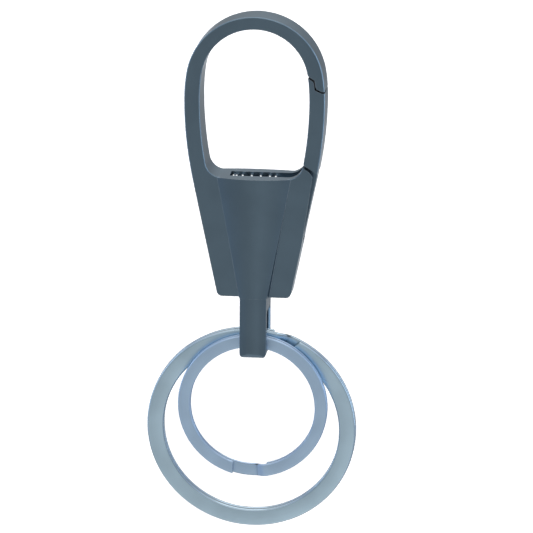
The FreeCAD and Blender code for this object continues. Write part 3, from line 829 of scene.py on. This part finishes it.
SOFT_BOXES = (
    SoftBox("top_box", (0.05, 0.30, 0.75), (0.7, 0.35), 1.3, (1.0, 1.0, 1.0)),
    SoftBox("right_strip", (0.75, -0.05, 0.05), (0.16, 0.7), 0.9, (0.70, 0.86, 1.0)),
    SoftBox("left_strip", (-0.75, 0.05, 0.05), (0.16, 0.7), 0.5, (0.70, 0.86, 1.0)),
)


@dataclass
class Studio:
    """A pale cove, soft light from above and both sides, and the camera."""

    azimuth: float = 6.5
    elevation: float = 14.3
    roll: float = 0.40
    distance: float = 1.0
    focal_length: float = 408.5
    aim: tuple[float, float, float] = (1.83 * MM, 0.0, -40.6 * MM)
    floor_drop: float = 0.25
    floor_size: float = 4.0
    floor_sides: int = 96
    floor_glow: float = 0.75
    sky: Sky = Sky()

    def build_floor(self) -> bpy.types.Object:
        """Builds the pale floor with its upturned rim.

        Returns:
            The floor.
        """
        work = bmesh.new()
        level = CAD_BOX[0][2] - self.floor_drop
        rings = []
        sides = self.floor_sides
        profile = ((0.8, 0.0), (0.92, 0.02), (0.98, 0.08), (1.0, 0.2), (1.0, 0.7))
        for share, rise in profile:
            rings.append([work.verts.new((self.floor_size * share * math.cos(TAU * k / sides),
                                          self.floor_size * share * math.sin(TAU * k / sides),
                                          level + rise * self.floor_size))
                          for k in range(sides)])
        work.faces.new(rings[0])
        for low, high in zip(rings, rings[1:]):
            for k in range(sides):
                after = (k + 1) % sides
                work.faces.new((low[k], low[after], high[after], high[k]))
        floor = new_piece("pale_floor", smooth_mesh("pale_floor", work))
        material = bpy.data.materials.new("pale_paper")
        material.use_nodes = True
        graph = Graph(material.node_tree)
        shader = material.node_tree.nodes["Principled BSDF"]
        coords = graph.add("ShaderNodeTexCoord").outputs["Object"]
        tone = graph.mix(graph.noise(coords, 3.0), (0.90, 0.90, 0.905, 1.0),
                         (0.93, 0.93, 0.93, 1.0))
        graph.feed(shader, {"Base Color": tone})
        shader.inputs["Roughness"].default_value = 0.9
        shader.inputs["Specular IOR Level"].default_value = 0.1
        shader.inputs["Emission Color"].default_value = (1.0, 1.0, 1.0, 1.0)
        shader.inputs["Emission Strength"].default_value = self.floor_glow
        floor.data.materials.append(material)
        floor.visible_glossy = False
        return floor

    def build_sky(self) -> None:
        """Builds the soft light all round.

        It is bright above, blue-white at the sides and brightest low behind, where the pale
        paper lies, with a faint strip down the front.
        """
        sky = self.sky
        world = bpy.data.worlds.new("soft_studio")
        bpy.context.scene.world = world
        world.use_nodes = True
        world.node_tree.nodes.clear()
        graph = Graph(world.node_tree)
        looking = graph.add("ShaderNodeTexCoord").outputs["Generated"]
        way = graph.add("ShaderNodeSeparateXYZ", Vector=looking)
        side_x, up_z = way.outputs["X"], way.outputs["Z"]
        sideways = graph.maths("ABSOLUTE", side_x)
        above = graph.ramp(up_z, 0.10, 0.85, 0.0, sky.above)
        beside = graph.ramp(sideways, 0.80, 0.98, 0.0, sky.beside)
        toward_paper = graph.add("ShaderNodeVectorMath", {"operation": "DOT_PRODUCT"}, s0=looking,
                                 s1=sky.paper_way).outputs["Value"]
        behind = graph.ramp(toward_paper, 0.970, 0.999, 0.0, sky.behind)
        below = graph.ramp(graph.maths("MULTIPLY", up_z, -1.0), 0.25, 0.9, 0.0, sky.below)
        aside = graph.maths("ABSOLUTE", graph.maths("SUBTRACT", side_x, sky.strip_middle))
        in_front = graph.ramp(way.outputs["Y"], -0.75, -0.45, 1.0, 0.0)
        band = graph.ramp(aside, 0.0, sky.strip_reach, sky.strip, 0.0)
        strip = graph.maths("MULTIPLY", band, in_front)
        total = graph.maths("ADD", graph.maths("ADD", above, beside),
                            graph.maths("ADD", behind, below))
        strength = graph.maths("ADD", graph.maths("ADD", total, strip), sky.base)
        tint = graph.mix(graph.ramp(sideways, 0.3, 0.95), sky.white, sky.cool)
        glow = graph.add("ShaderNodeBackground", Color=tint, Strength=strength)
        plain = graph.add("ShaderNodeBackground", Color=sky.backdrop, Strength=1.0)
        seen = graph.add("ShaderNodeLightPath").outputs["Is Camera Ray"]
        both = graph.add("ShaderNodeMixShader", s0=seen, s1=glow.outputs[0], s2=plain.outputs[0])
        graph.add("ShaderNodeOutputWorld", Surface=both.outputs[0])

    def build_lamp(self, box: SoftBox) -> None:
        """Adds one soft box that looks at the middle of the organiser.

        Args:
            box: the soft box.
        """
        lamp = bpy.data.lights.new(box.name, "AREA")
        lamp.shape = "RECTANGLE"
        lamp.size, lamp.size_y = box.size
        lamp.energy = box.power
        lamp.color = box.colour
        holder = bpy.data.objects.new(box.name, lamp)
        bpy.context.scene.collection.objects.link(holder)
        holder.location = box.place
        looking = Vector(self.aim) - Vector(box.place)
        holder.rotation_euler = looking.to_track_quat("-Z", "Y").to_euler()

    def build_camera(self) -> bpy.types.Object:
        """Places the camera.

        Returns:
            The camera.
        """
        turn, rise = math.radians(self.azimuth), math.radians(self.elevation)
        away = Vector((math.sin(turn) * math.cos(rise), -math.cos(turn) * math.cos(rise),
                       math.sin(rise)))
        lens = bpy.data.cameras.new("product_camera")
        lens.lens = self.focal_length
        lens.sensor_width = 36.0
        lens.clip_start = 0.01
        lens.clip_end = 50.0
        camera = bpy.data.objects.new("product_camera", lens)
        bpy.context.scene.collection.objects.link(camera)
        camera.location = Vector(self.aim) + away * self.distance
        facing = (-away).to_track_quat("-Z", "Y").to_matrix().to_4x4()
        camera.matrix_world = (Matrix.Translation(camera.location) @ facing
                               @ Matrix.Rotation(math.radians(self.roll), 4, "Z"))
        bpy.context.scene.camera = camera
        return camera

    def build(self) -> None:
        """Builds the whole studio."""
        self.build_floor()
        self.build_sky()
        for box in SOFT_BOXES:
            self.build_lamp(box)
        self.build_camera()
        bpy.context.scene.view_settings.view_transform = "Standard"


def main() -> None:
    """Builds every piece in order and logs it."""
    logging.basicConfig(level=logging.INFO)
    effects = Effects()
    materials = {finish: finish.value.material(effects) for finish in Finish}
    for maker in (ClipCasting(), SpringGate(), HingePin(), GateCoil(), large_ring(), small_ring()):
        piece = maker.build(materials)
        LOG.info("%s: %d faces", piece.name, len(piece.data.polygons))
    Studio().build()
    LOG.info("studio built")


if __name__ == "__main__":
    main()
